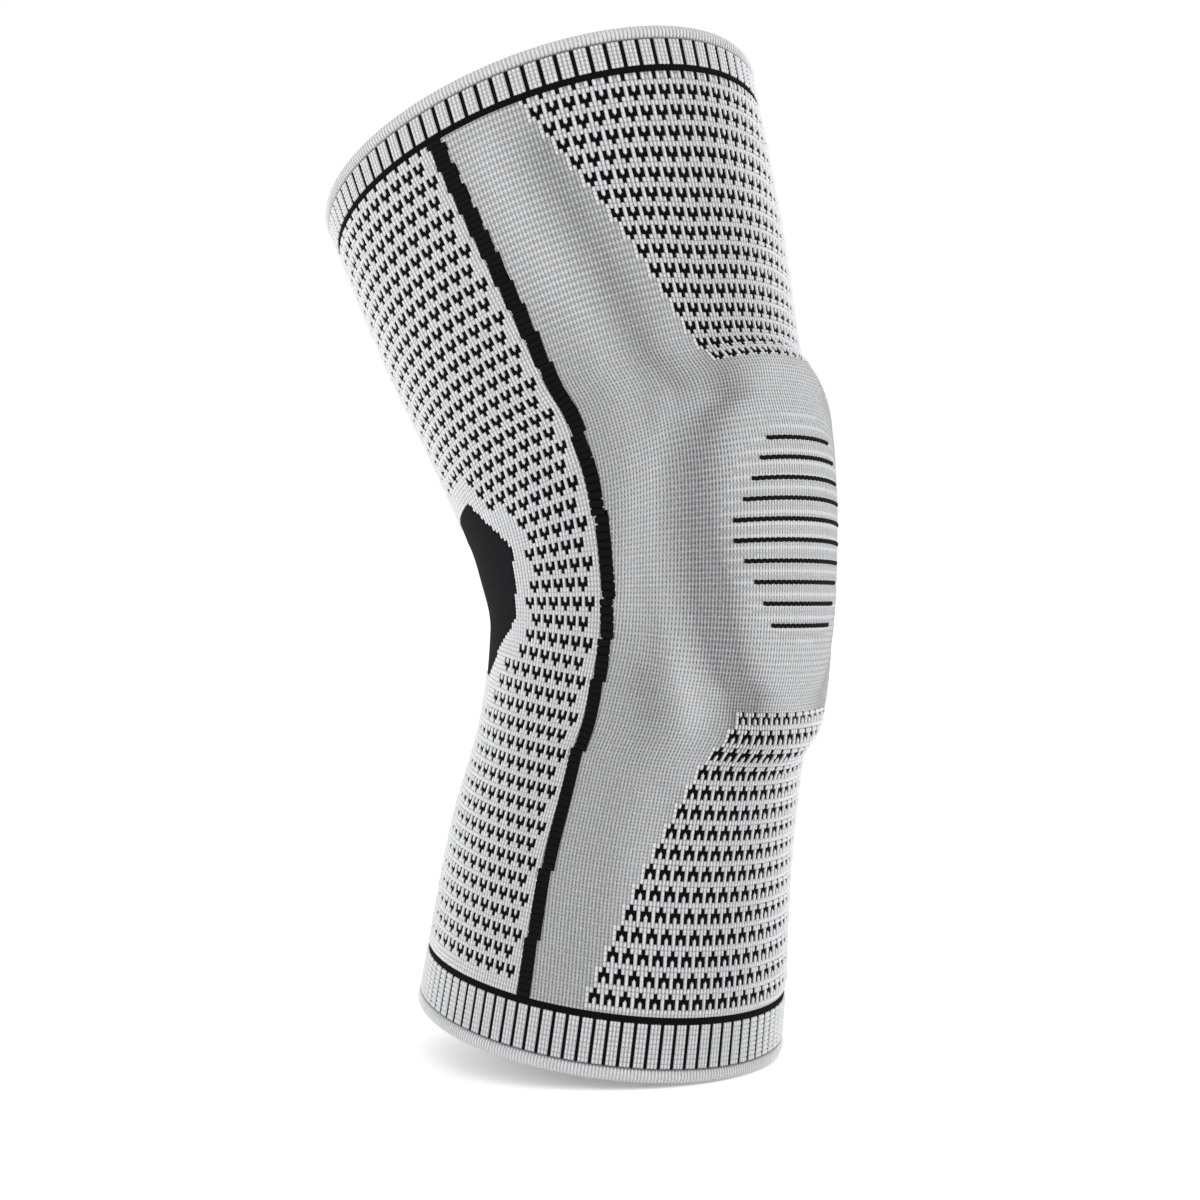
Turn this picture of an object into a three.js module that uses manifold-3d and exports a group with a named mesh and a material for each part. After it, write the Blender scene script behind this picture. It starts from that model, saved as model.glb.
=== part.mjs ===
// A knitted compression knee sleeve, held open in the shape of a slightly bent leg: a knit tube
// whose front swells over a ring-shaped pad, a striped cuff and a rolled hem at each end, and a
// dark panel behind the knee. Millimetres, +Z up. The kneecap faces -Y. The origin is the middle
// of the knee, inside the hollow.

import * as THREE from "three";
import { mergeVertices } from "three/addons/utils/BufferGeometryUtils.js";
import Module from "manifold-3d";

// Sizes along the leg, measured on the sleeve's middle line.
const thighLength = 145; // knee to the thigh edge
const calfLength = 145; // knee to the calf edge
const bendRadius = 92; // of the middle line, where the leg bends
const thighLean = 20.5; // degrees that the thigh leans back
const calfLean = 9; // degrees that the calf slopes back, going down

// Sizes across the leg. The sections below are shares of these.
const thighRadius = 72;
const kneeRadius = 53;
const calfRadius = 57;

// Knit.
const fabricWall = 1.8;
const seamGap = 0.3; // between pieces that meet
const thighCuffHeight = 10.2;
const calfCuffHeight = 15.2;
const hemHeight = 4.2;
const hemThickness = 2.8;

// The pad round the kneecap and the swelling that it makes in the front of the sleeve.
const padHalfWidth = 57; // round the leg
const padHalfHeight = 48.5; // along the leg
const padDrop = 2; // its centre, under the knee's
const padSwell = 4.8;
const padLeast = 1.2; // its thickness at the edges
const padHole = 0.42; // share of the outline where the kneecap hole ends
const padEdge = 0.95; // share of the outline where the pad ends
const swellTop = 0.8; // share of the outline where the swelling starts to fall
const swellFoot = 1.1; // share of the outline where it is gone
const rim = { rise: 0.7, share: 0.92, width: 0.1 }; // soft ridge over the pad's edge
const dish = { depth: 0.8, share: 0.66, width: 0.13 }; // soft hollow inside that ridge

// Facets.
const sides = 44; // round the leg
const ringStep = 8.8; // along the leg, on the body
const hemCorners = 8; // of a hem's profile
const padSpokes = 32;
const padRows = [0, 0.11, 0.38, 0.68, 0.91, 1]; // from the pad's hole to its edge, as shares of the way
const panelColumns = 10; // of the block that cuts the panel
const panelStep = 9;
const blockAbove = 3; // fabric walls that this block reaches over the fabric
const blockBelow = 4; // and under its outer face
const weld = 1e-4; // corners nearer than this are one

// Sections of the outer surface. along: share of the thigh length above the knee, of the calf
// length under it. of: the size that the row's shares are of. front, back, side: how far the
// surface lies from the middle line.
const sections = [
  { along: -1.0, of: calfRadius, front: 1.01, back: 1.06, side: 0.985 },
  { along: -0.86, of: calfRadius, front: 0.99, back: 1.035, side: 0.965 },
  { along: -0.6, of: calfRadius, front: 0.935, back: 0.985, side: 0.915 },
  { along: -0.34, of: kneeRadius, front: 1.015, back: 0.925, side: 0.915 },
  { along: -0.16, of: kneeRadius, front: 1.03, back: 0.94, side: 0.92 },
  { along: 0.0, of: kneeRadius, front: 1.05, back: 1.015, side: 0.96 },
  { along: 0.16, of: kneeRadius, front: 1.175, back: 1.035, side: 1.02 },
  { along: 0.36, of: thighRadius, front: 0.895, back: 0.83, side: 0.795 },
  { along: 0.6, of: thighRadius, front: 0.97, back: 0.935, side: 0.86 },
  { along: 0.86, of: thighRadius, front: 1.04, back: 1.025, side: 0.9 },
  { along: 1.0, of: thighRadius, front: 1.075, back: 1.075, side: 0.907 },
];

// Outline of the dark panel, one side of it. along: as above. turn: degrees from the middle of the back.
const panelOutline = [
  { along: 0.21, turn: 63 },
  { along: 0.054, turn: 79.5 },
  { along: -0.11, turn: 76 },
  { along: -0.26, turn: 54 },
];

const radians = THREE.MathUtils.degToRad;
const lengthAt = (along) => along * (along > 0 ? thighLength : calfLength);

// Smooth curve through a column of the section table.
const stations = sections.map((row) => lengthAt(row.along));
function columnCurve(column) {
  const values = sections.map((row) => row[column] * row.of);
  const last = stations.length - 1;
  const slope = (k) => (values[k + 1] - values[k]) / (stations[k + 1] - stations[k]);
  const tangents = values.map((value, k) => {
    if (k === 0) return slope(0);
    if (k === last) return slope(last - 1);
    const before = stations[k] - stations[k - 1];
    const after = stations[k + 1] - stations[k];
    return (slope(k - 1) * after + slope(k) * before) / (before + after);
  });
  return (s) => {
    let k = stations.findIndex((station) => station > s) - 1;
    if (k < 0) k = s < stations[0] ? 0 : last - 1;
    const span = stations[k + 1] - stations[k];
    const t = (s - stations[k]) / span;
    const ease = 3 * t ** 2 - 2 * t ** 3;
    const between = values[k] * (1 - ease) + values[k + 1] * ease;
    const leaving = tangents[k] * (t ** 3 - 2 * t ** 2 + t);
    const entering = tangents[k + 1] * (t ** 3 - t ** 2);
    return between + span * (leaving + entering);
  };
}
const frontReach = columnCurve("front");
const backReach = columnCurve("back");
const sideReach = columnCurve("side");

// Middle line: a straight calf, an arc at the knee and a straight thigh. Gives the point and the lean there.
const halfBend = radians((thighLean + calfLean) / 2);
const middleLean = radians((thighLean - calfLean) / 2);
function middleAt(s) {
  const bent = THREE.MathUtils.clamp(s, -bendRadius * halfBend, bendRadius * halfBend);
  const straight = s - bent;
  const turn = bent / bendRadius;
  const y = bendRadius * (1 - Math.cos(turn)) + straight * Math.sin(turn);
  const z = bendRadius * Math.sin(turn) + straight * Math.cos(turn);
  return {
    y: y * Math.cos(middleLean) + z * Math.sin(middleLean),
    z: z * Math.cos(middleLean) - y * Math.sin(middleLean),
    lean: turn + middleLean,
  };
}

// How far a place lies from the kneecap's middle, as a share of the pad's outline.
function padShare(s, angle) {
  const round = (angle * (kneeRadius + padSwell)) / padHalfWidth;
  return Math.hypot(round, (s + padDrop) / padHalfHeight);
}

// Swelling of the front over the pad, with a soft ridge over the pad's edge and a hollow inside it.
function swellAt(share) {
  const lobe = (place) => Math.exp(-(((share - place.share) / place.width) ** 2));
  const plateau = padSwell * (1 - THREE.MathUtils.smoothstep(share, swellTop, swellFoot));
  return plateau + rim.rise * lobe(rim) - dish.depth * lobe(dish);
}

// Point of the sleeve. angle: 0 at the front, positive to +X. inset: depth under the outer surface.
function pointAt(s, angle, inset) {
  const middle = middleAt(s);
  const forward = Math.cos(angle) > 0 ? frontReach(s) : backReach(s);
  const side = sideReach(s);
  const normal = new THREE.Vector2(Math.sin(angle) / side, Math.cos(angle) / forward).normalize();
  const outward = swellAt(padShare(s, angle)) - inset;
  const across = side * Math.sin(angle) + normal.x * outward;
  const ahead = forward * Math.cos(angle) + normal.y * outward;
  return new THREE.Vector3(
    across,
    middle.y - ahead * Math.cos(middle.lean),
    middle.z + ahead * Math.sin(middle.lean),
  );
}

// Closed surface from a grid of points whose rows and columns both run round and meet themselves.
function closedGrid(rows) {
  const width = rows[0].length;
  const corner = (i, j) => (i % rows.length) * width + (j % width);
  const index = [];
  for (let i = 0; i < rows.length; i++) {
    for (let j = 0; j < width; j++) {
      index.push(corner(i, j), corner(i + 1, j), corner(i + 1, j + 1));
      index.push(corner(i, j), corner(i + 1, j + 1), corner(i, j + 1));
    }
  }
  return new THREE.BufferGeometry().setFromPoints(rows.flat()).setIndex(index);
}

// Band round the leg: its profile is a closed list of places along the leg and depths under the surface.
function bandGeometry(profile) {
  const rows = [];
  for (let i = 0; i < sides; i++) {
    const angle = (2 * Math.PI * (i + 0.5)) / sides - Math.PI;
    rows.push(profile.map(({ s, inset }) => pointAt(s, angle, inset)));
  }
  return closedGrid(rows);
}

// Profile of a knit wall from one place to another, between two depths.
function wallProfile(from, to, step, top = 0, bottom = fabricWall) {
  const count = Math.max(1, Math.round((to - from) / step));
  const places = Array.from({ length: count + 1 }, (unused, k) => from + ((to - from) * k) / count);
  const outer = places.map((s) => ({ s, inset: top }));
  const inner = places.toReversed().map((s) => ({ s, inset: bottom }));
  return [...outer, ...inner];
}

// Profile of a rolled hem: a rounded bar whose middle lies on the fabric's middle.
function hemProfile(from, to) {
  const middle = (from + to) / 2;
  const reach = Math.cos(Math.PI / hemCorners);
  return Array.from({ length: hemCorners }, (unused, k) => {
    const turn = (2 * Math.PI * (k + 0.5)) / hemCorners;
    return {
      s: middle - (((to - from) / 2) * Math.cos(turn)) / reach,
      inset: fabricWall / 2 - ((hemThickness / 2) * Math.sin(turn)) / reach,
    };
  });
}

// Where each piece starts and ends along the leg, from the calf edge up.
const calfHem = { from: -calfLength, to: -calfLength + hemHeight };
const calfCuff = { from: calfHem.to + seamGap, to: calfHem.to + seamGap + calfCuffHeight };
const thighHem = { from: thighLength - hemHeight, to: thighLength };
const thighCuff = { from: thighHem.from - seamGap - thighCuffHeight, to: thighHem.from - seamGap };
const body = { from: calfCuff.to + seamGap, to: thighCuff.from - seamGap };

// Panel's outline moved outwards by a distance, as places along the leg with a half turn for each.
function panelRows(grow) {
  const corners = panelOutline.map(({ along, turn }) => {
    const s = lengthAt(along);
    return { s, reach: radians(turn) * backReach(s) };
  });
  const edges = corners.slice(1).map((corner, k) => {
    const run = { s: corner.s - corners[k].s, reach: corner.reach - corners[k].reach };
    const length = Math.hypot(run.s, run.reach);
    return { s: run.reach / length, reach: -run.s / length };
  });
  const ends = [{ s: 1, reach: 0 }, ...edges, { s: -1, reach: 0 }];
  const moved = corners.map((corner, k) => {
    const one = ends[k];
    const two = ends[k + 1];
    const share = grow / (1 + one.s * two.s + one.reach * two.reach);
    return { s: corner.s + (one.s + two.s) * share, reach: corner.reach + (one.reach + two.reach) * share };
  });
  const rows = [moved[0]];
  moved.slice(1).forEach((corner, k) => {
    const count = Math.ceil((moved[k].s - corner.s) / panelStep);
    for (let step = 1; step <= count; step++) {
      const t = step / count;
      const s = THREE.MathUtils.lerp(moved[k].s, corner.s, t);
      rows.push({ s, reach: THREE.MathUtils.lerp(moved[k].reach, corner.reach, t) });
    }
  });
  return rows.map(({ s, reach }) => ({ s, turn: reach / backReach(s) }));
}

// Block through the fabric behind the knee, with the panel's outline moved outwards by a distance.
function panelBlock(grow) {
  const places = panelRows(grow);
  const layer = (inset) =>
    places.map(({ s, turn }) =>
      Array.from({ length: panelColumns + 1 }, (unused, k) =>
        pointAt(s, Math.PI + turn * ((2 * k) / panelColumns - 1), inset),
      ),
    );
  const outer = layer(-blockAbove * fabricWall);
  const inner = layer(blockBelow * fabricWall);
  // Each row runs across the outer layer and back across the inner one, so rows close on themselves.
  const loops = outer.map((row, k) => [...row, ...inner[k].toReversed()]);
  const width = loops[0].length;
  const index = [];
  for (let i = 0; i < loops.length - 1; i++) {
    for (let j = 0; j < width; j++) {
      const here = i * width + j;
      const beside = i * width + ((j + 1) % width);
      index.push(here, here + width, beside + width, here, beside + width, beside);
    }
  }
  const cap = (row, flip) => {
    for (let j = 0; j < panelColumns; j++) {
      const [a, b] = [row * width + j, row * width + j + 1];
      const [c, d] = [row * width + width - 1 - j, row * width + width - 2 - j];
      index.push(...(flip ? [a, d, b, a, c, d] : [a, b, d, a, d, c]));
    }
  };
  cap(0, false);
  cap(loops.length - 1, true);
  return new THREE.BufferGeometry().setFromPoints(loops.flat()).setIndex(index);
}

// The pad before its face is cut to the fabric: a soft ring that fills the swelling, with a kneecap hole.
function padGeometry() {
  const shares = padRows.map((way) => THREE.MathUtils.lerp(padHole, padEdge, way));
  const skin = fabricWall + seamGap;
  const thickness = (share) => Math.max(padLeast, swellAt(share) - seamGap);
  const outer = shares.map((share) => ({ share, inset: 0 }));
  const inner = shares.toReversed().map((share) => ({ share, inset: skin + thickness(share) }));
  const rows = [];
  for (let i = 0; i < padSpokes; i++) {
    const spoke = (2 * Math.PI * i) / padSpokes;
    rows.push(
      [...outer, ...inner].map(({ share, inset }) => {
        const s = share * padHalfHeight * Math.cos(spoke) - padDrop;
        const angle = (share * padHalfWidth * Math.sin(spoke)) / (kneeRadius + padSwell);
        return pointAt(s, angle, inset);
      }),
    );
  }
  return closedGrid(rows);
}

// Solids for the cuts.
const wasm = await Module();
wasm.setup();
function solidOf(geometry) {
  const merged = mergeVertices(geometry, weld);
  return new wasm.Manifold(
    new wasm.Mesh({
      numProp: 3,
      vertProperties: merged.attributes.position.array,
      triVerts: new Uint32Array(merged.index.array),
    }),
  );
}
function geometryOf(solid) {
  const mesh = solid.getMesh();
  return new THREE.BufferGeometry()
    .setAttribute("position", new THREE.BufferAttribute(mesh.vertProperties, 3))
    .setIndex(new THREE.BufferAttribute(mesh.triVerts, 1));
}

const lightKnit = new THREE.MeshStandardMaterial({ color: 0xd9d9dc, roughness: 0.95, metalness: 0 });
const hemKnit = new THREE.MeshStandardMaterial({ color: 0xe4e4e6, roughness: 0.95, metalness: 0 });
const darkKnit = new THREE.MeshStandardMaterial({ color: 0x232325, roughness: 0.95, metalness: 0 });
const padGel = new THREE.MeshStandardMaterial({ color: 0xb4b6ba, roughness: 0.5, metalness: 0 });

const sleeve = new THREE.Group();
function addPiece(name, geometry, material) {
  geometry.computeVertexNormals();
  const piece = new THREE.Mesh(geometry, material);
  piece.name = name;
  sleeve.add(piece);
}

const tube = solidOf(bandGeometry(wallProfile(body.from, body.to, ringStep)));
const clearanceProfile = wallProfile(body.from, body.to, ringStep, -2 * fabricWall, fabricWall + seamGap);
const padClearance = solidOf(bandGeometry(clearanceProfile));
const panelHole = solidOf(panelBlock(seamGap));
const panelShape = solidOf(panelBlock(0));
addPiece("sleeve_body", geometryOf(tube.subtract(panelHole)), lightKnit);
addPiece("popliteal_panel", geometryOf(tube.intersect(panelShape)), darkKnit);
addPiece("thigh_cuff", bandGeometry(wallProfile(thighCuff.from, thighCuff.to, ringStep)), lightKnit);
addPiece("calf_cuff", bandGeometry(wallProfile(calfCuff.from, calfCuff.to, ringStep)), lightKnit);
addPiece("thigh_hem", bandGeometry(hemProfile(thighHem.from, thighHem.to)), hemKnit);
addPiece("calf_hem", bandGeometry(hemProfile(calfHem.from, calfHem.to)), hemKnit);
addPiece("patella_pad", geometryOf(solidOf(padGeometry()).subtract(padClearance)), padGel);

export default sleeve;
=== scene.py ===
# %% [markdown]
# # A knitted knee sleeve
#
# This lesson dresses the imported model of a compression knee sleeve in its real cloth. The sleeve
# is one knitted tube: a figured knit of black forks on light grey at the thigh, the calf and the
# back, a plain side band, a black side stripe, a smooth kneecap with black lines, striped cuffs
# and rolled hems. The cloth could be one smooth skin with a picture of knitting on it. Here it is
# built stitch by stitch instead, because the light yarn of the figures really stands proud of the
# black.

# %% Load the frame
import math

import bpy
import numpy as np
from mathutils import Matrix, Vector


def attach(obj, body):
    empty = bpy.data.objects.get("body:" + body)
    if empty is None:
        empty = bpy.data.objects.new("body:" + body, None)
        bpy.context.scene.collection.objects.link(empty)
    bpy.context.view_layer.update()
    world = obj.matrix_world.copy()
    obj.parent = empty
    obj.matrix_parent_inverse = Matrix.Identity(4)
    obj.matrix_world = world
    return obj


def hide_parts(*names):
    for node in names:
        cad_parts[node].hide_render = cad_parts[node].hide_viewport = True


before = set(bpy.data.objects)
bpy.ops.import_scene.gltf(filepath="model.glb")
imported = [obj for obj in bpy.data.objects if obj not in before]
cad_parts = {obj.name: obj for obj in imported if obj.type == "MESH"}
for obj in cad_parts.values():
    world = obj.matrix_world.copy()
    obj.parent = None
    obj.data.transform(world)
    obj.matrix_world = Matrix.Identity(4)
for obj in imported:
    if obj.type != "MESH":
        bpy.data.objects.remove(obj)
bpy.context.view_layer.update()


def add_object(name, data):
    """A new object in the scene."""
    made = bpy.data.objects.new(name, data)
    bpy.context.scene.collection.objects.link(made)
    return made


print("nodes:", sorted(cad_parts))

# %% [markdown]
# ## Sizes
#
# The same sizes as in the solid model, in metres. The sections give how far the surface lies from
# the leg's middle line in front, behind and at the side. `along` is a share of the thigh's length
# above the knee and of the calf's length under it, and the other three are shares of `of`.

# %% Sizes
thigh_length = 0.145
calf_length = 0.145
bend_radius = 0.092
thigh_lean = math.radians(20.5)
calf_lean = math.radians(9)
thigh_radius = 0.072
knee_radius = 0.053
calf_radius = 0.057
fabric_wall = 0.0018
seam_gap = 0.0003
thigh_cuff_height = 0.0102
calf_cuff_height = 0.0152
hem_height = 0.0042
hem_thickness = 0.0028


def table(columns, *rows):
    """A list of rows, each with its values under the named columns."""
    return [dict(zip(columns.split(), row)) for row in rows]


sections = table(
    "along of front back side",
    (-1.0, calf_radius, 1.01, 1.06, 0.985),
    (-0.86, calf_radius, 0.99, 1.035, 0.965),
    (-0.6, calf_radius, 0.935, 0.985, 0.915),
    (-0.34, knee_radius, 1.015, 0.925, 0.915),
    (-0.16, knee_radius, 1.03, 0.94, 0.92),
    (0.0, knee_radius, 1.05, 1.015, 0.96),
    (0.16, knee_radius, 1.175, 1.035, 1.02),
    (0.36, thigh_radius, 0.895, 0.83, 0.795),
    (0.6, thigh_radius, 0.97, 0.935, 0.86),
    (0.86, thigh_radius, 1.04, 1.025, 0.9),
    (1.0, thigh_radius, 1.075, 1.075, 0.907),
)

# %% [markdown]
# The pad round the kneecap swells the front. Its outline is an ellipse on the cloth, with a soft
# ridge over the pad's edge and a shallow hollow inside that ridge.

# %% The pad's sizes
pad_half_width = 0.057
pad_half_height = 0.0485
pad_drop = 0.002
pad_swell = 0.0048
pad_least = 0.0012
pad_hole = 0.42
pad_edge = 0.95
swell_top = 0.8
swell_foot = 1.1
rim = {"rise": 0.0007, "share": 0.92, "width": 0.1}
dish = {"depth": 0.0008, "share": 0.66, "width": 0.13}

# %% [markdown]
# ## The surface of the leg
#
# A curve through the values of the sections gives each reach at any height. The middle line is a
# straight calf, an arc at the knee and a straight thigh. Everything below is placed with these
# functions, so the cloth, the stripes and the stitches all share one surface.


# %% Curves and the middle line
def curve_through(places, values):
    """A smooth curve through points, as a function of the place."""
    places, values = np.array(places, float), np.array(values, float)
    gaps = np.diff(places)
    slopes = np.diff(values) / gaps
    inner = (slopes[:-1] * gaps[1:] + slopes[1:] * gaps[:-1]) / (gaps[:-1] + gaps[1:])
    tangents = np.concatenate([slopes[:1], inner, slopes[-1:]])

    def at(x):
        x = np.clip(np.asarray(x, float), places[0], places[-1])
        k = np.clip(np.searchsorted(places, x, side="right") - 1, 0, len(gaps) - 1)
        t = (x - places[k]) / gaps[k]
        ease = t * t * (3 - 2 * t)
        bend = tangents[k] * (t**3 - 2 * t * t + t) + tangents[k + 1] * (t**3 - t * t)
        return values[k] * (1 - ease) + values[k + 1] * ease + gaps[k] * bend

    return at


def curve_of(rows, place, value):
    """A smooth curve through two columns of a table."""
    return curve_through([row[place] for row in rows], [row[value] for row in rows])


def places_of(rows):
    """Where the rows of a table lie along the leg."""
    return [r["along"] * (thigh_length if r["along"] > 0 else calf_length) for r in rows]


def column(name):
    return curve_through(places_of(sections), [r[name] * r["of"] for r in sections])


front_reach, back_reach, side_reach = column("front"), column("back"), column("side")
half_bend = (thigh_lean + calf_lean) / 2
middle_lean = (thigh_lean - calf_lean) / 2


def middle_at(s):
    """The middle line's point and lean at a place along the leg."""
    bent = np.clip(s, -bend_radius * half_bend, bend_radius * half_bend)
    turn, straight = bent / bend_radius, s - bent
    y = bend_radius * (1 - np.cos(turn)) + straight * np.sin(turn)
    z = bend_radius * np.sin(turn) + straight * np.cos(turn)
    lean_cos, lean_sin = math.cos(middle_lean), math.sin(middle_lean)
    return y * lean_cos + z * lean_sin, z * lean_cos - y * lean_sin, turn + middle_lean


# %% The outer surface
def lobe(x, centre, width):
    return np.exp(-(((x - centre) / width) ** 2))


def smooth(x, low, high):
    t = np.clip((x - low) / (high - low), 0, 1)
    return t * t * (3 - 2 * t)


def pad_share(s, angle):
    """How far a place lies from the kneecap's middle, as a share of the pad's outline."""
    return np.hypot(
        angle * (knee_radius + pad_swell) / pad_half_width, (s + pad_drop) / pad_half_height
    )


def swell(share):
    flat = pad_swell * (1 - smooth(share, swell_top, swell_foot))
    ridge = rim["rise"] * lobe(share, rim["share"], rim["width"])
    return flat + ridge - dish["depth"] * lobe(share, dish["share"], dish["width"])


def point_at(s, angle, inset=0.0):
    """Points of the sleeve. angle: 0 in front, positive to +X. inset: depth under the surface."""
    y, z, lean = middle_at(s)
    forward = np.where(np.cos(angle) > 0, front_reach(s), back_reach(s))
    side = side_reach(s)
    nx, ny = np.sin(angle) / side, np.cos(angle) / forward
    size = np.hypot(nx, ny)
    outward = swell(pad_share(s, angle)) - inset
    across = side * np.sin(angle) + nx / size * outward
    ahead = forward * np.cos(angle) + ny / size * outward
    return np.stack([across, y - ahead * np.cos(lean), z + ahead * np.sin(lean)], axis=-1)


# %% [markdown]
# A knit has its wales at even steps round the cloth, so a place round the leg is also needed as a
# share of the girth: 0 at the front and 0.5 behind. The table below holds the angle for each
# share.

# %% Places by their share of the girth
table_s = np.linspace(-calf_length, thigh_length, 291)
table_share = np.linspace(-0.5, 0.5, 1001)
table_angle = np.linspace(-math.pi, math.pi, 1441)
rings = point_at(table_s[:, None], table_angle[None, :])
lengths = np.linalg.norm(np.diff(rings, axis=1), axis=2)
arcs = np.concatenate([np.zeros((len(table_s), 1)), np.cumsum(lengths, axis=1)], axis=1)
angle_table = np.stack(
    [np.interp(table_share, arc / arc[-1] - 0.5, table_angle) for arc in arcs]
)
girth_at = curve_through(table_s, arcs[:, -1])
print("girth at thigh, knee, calf:", np.round(girth_at([thigh_length, 0, -calf_length]), 3))


def angle_at(s, share):
    """The angle of a share of the girth, read from the table."""
    i = np.clip((s - table_s[0]) / (table_s[1] - table_s[0]), 0, len(table_s) - 1.001)
    j = np.clip((share - table_share[0]) * (len(table_share) - 1), 0, len(table_share) - 1.001)
    i0, j0 = i.astype(int), j.astype(int)
    a, b = i - i0, j - j0
    low = angle_table[i0, j0] * (1 - b) + angle_table[i0, j0 + 1] * b
    high = angle_table[i0 + 1, j0] * (1 - b) + angle_table[i0 + 1, j0 + 1] * b
    return low * (1 - a) + high * a


def cloth_at(s, share, inset=0.0):
    s, share = np.broadcast_arrays(np.asarray(s, float), np.asarray(share, float))
    return point_at(s, angle_at(s, share), inset)


def frame_at(s, share, inset=0.0):
    """Points on the cloth with their directions round the leg, up the leg and outwards."""
    step = 2e-4
    here = cloth_at(s, share, inset)
    up = cloth_at(s + step, share, inset) - cloth_at(s - step, share, inset)
    round_leg = cloth_at(s, share + step, inset) - cloth_at(s, share - step, inset)
    out = np.cross(round_leg, up)
    out /= np.linalg.norm(out, axis=-1, keepdims=True)
    up /= np.linalg.norm(up, axis=-1, keepdims=True)
    across = np.cross(up, out)
    across /= np.linalg.norm(across, axis=-1, keepdims=True)
    return here, across, np.cross(out, across), out


# %% [markdown]
# ## The knit's own grid
#
# A knit is a grid of stitches: wales run up the leg and courses run round it. There are 316 wales
# round the leg, a little wider behind. `up` is a place along the cloth, 0 at the calf edge and 1
# at the thigh edge.

# %% Wales and courses
wales_round = 316
half_round = wales_round / 2
even_wales = 80  # from the front; the wales behind them widen
widening = 20  # wales over which they widen
share_unit = 352  # even wales that would go round
cloth_length = thigh_length + calf_length


def wale_share(wale):
    """The share of the girth at which a wale lies, counted from the front's middle."""
    size = np.abs(wale)
    x = np.clip((size - even_wales) / widening, 0, 1)
    extra = widening * (x**3 - x**4 / 2) + np.maximum(size - even_wales - widening, 0)
    spare = (share_unit / 2 - half_round) / (half_round - even_wales - widening / 2)
    return np.sign(wale) * (size + spare * extra) / share_unit


def wrapped_share(share):
    """A share of the girth brought back between -0.5 and 0.5."""
    return np.where(share > 0.5, share - 1, share)


def paired(one, two):
    """Two grids as one grid of pairs, such as UV places."""
    return np.stack(np.broadcast_arrays(one, two), axis=-1)


def centres(grid):
    """The middles of a grid's cells."""
    return (grid[:-1, :-1] + grid[1:, 1:]) / 2


def s_of(up):
    return np.asarray(up) * cloth_length - calf_length


def up_of(s):
    return (np.asarray(s) + calf_length) / cloth_length


# %% [markdown]
# The black side stripe runs down the seam line of the leg. Its middle is given in wales from the
# front, at a few heights.

# %% The side stripe's course
stripe = table(
    "up wale",
    (0.0, 75.5), (0.2, 72.5), (0.4, 70.5), (0.5, 68), (0.57, 69),
    (0.65, 68), (0.75, 70.5), (0.85, 74), (1.0, 79.5),
)
stripe_wales = 4.0  # its width
stripe_curve = curve_of(stripe, "up", "wale")


def stripe_share(s):
    return stripe_curve(up_of(s)) / share_unit


def stepped_stripe(s):
    """The stripe's middle where it really lies: on whole wales, with a step now and then."""
    return np.round(stripe_curve(up_of(s))) / share_unit


# %% [markdown]
# Where the body of the cloth starts and ends, and the courses of each figured field. Courses are
# counted downwards, four to a row of figures. Rows lie closer together at the knee, so each field
# has a short table that says how high some of its rows lie.

# %% Courses
calf_hem_span = (-calf_length, -calf_length + hem_height)
cuff_foot = calf_hem_span[1] + seam_gap
calf_cuff_span = (cuff_foot, cuff_foot + calf_cuff_height)
thigh_hem_span = (thigh_length - hem_height, thigh_length)
cuff_top = thigh_hem_span[0] - seam_gap
thigh_cuff_span = (cuff_top - thigh_cuff_height, cuff_top)
body_span = (calf_cuff_span[1], thigh_cuff_span[0])

back_rows = table(
    "row up",
    (0, 0.9275), (6, 0.804), (12, 0.6885), (19, 0.5635),
    (26, 0.4445), (36, 0.255), (46, 0.068),
)
thigh_rows = table(
    "row up slant",
    (0, 0.9435, 0.0001), (1, 0.9212, 0.00015), (6, 0.8105, 0.00055), (9, 0.751, 0.0006),
    (12, 0.691, 0.0005), (15, 0.641, 0.0),
)
calf_rows = table(
    "row up",
    (0, 0.3795), (6, 0.2565), (15, 0.062),
)
back_curve, calf_curve = curve_of(back_rows, "row", "up"), curve_of(calf_rows, "row", "up")
thigh_curve = curve_of(thigh_rows, "row", "up")
thigh_slant = curve_of(thigh_rows, "row", "slant")

# %% [markdown]
# ## The figure
#
# The figure is a small fork, three wales wide and three courses high: two prongs, the bar that
# joins them and a stem. Rows of forks are set half a step apart, as bricks are. At the thigh and
# behind the prongs point up. On the calf's front they point down. A chart of each field says
# which of its stitches are black.

# %% Charts of the black stitches
fork_wales = 4  # from one fork to the next
fork_courses = 4  # from one row of forks to the next
fork = [(-1, 2), (1, 2), (-1, 3), (0, 3), (1, 3), (0, 4)]
fork_down = [(0, 0), (-1, 1), (0, 1), (1, 1), (-1, 2), (1, 2)]

# %% [markdown]
# ## Cloth made of cells
#
# Each cell of a cloth is one stitch wide and one course high, and carries a number for its yarn.
# A cloth is a closed shell: the cells outside, the same cells inside, and a wall round its edge.
# That could be left to a Solidify modifier, but here the walls have to follow the steps of the
# knit.


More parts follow.
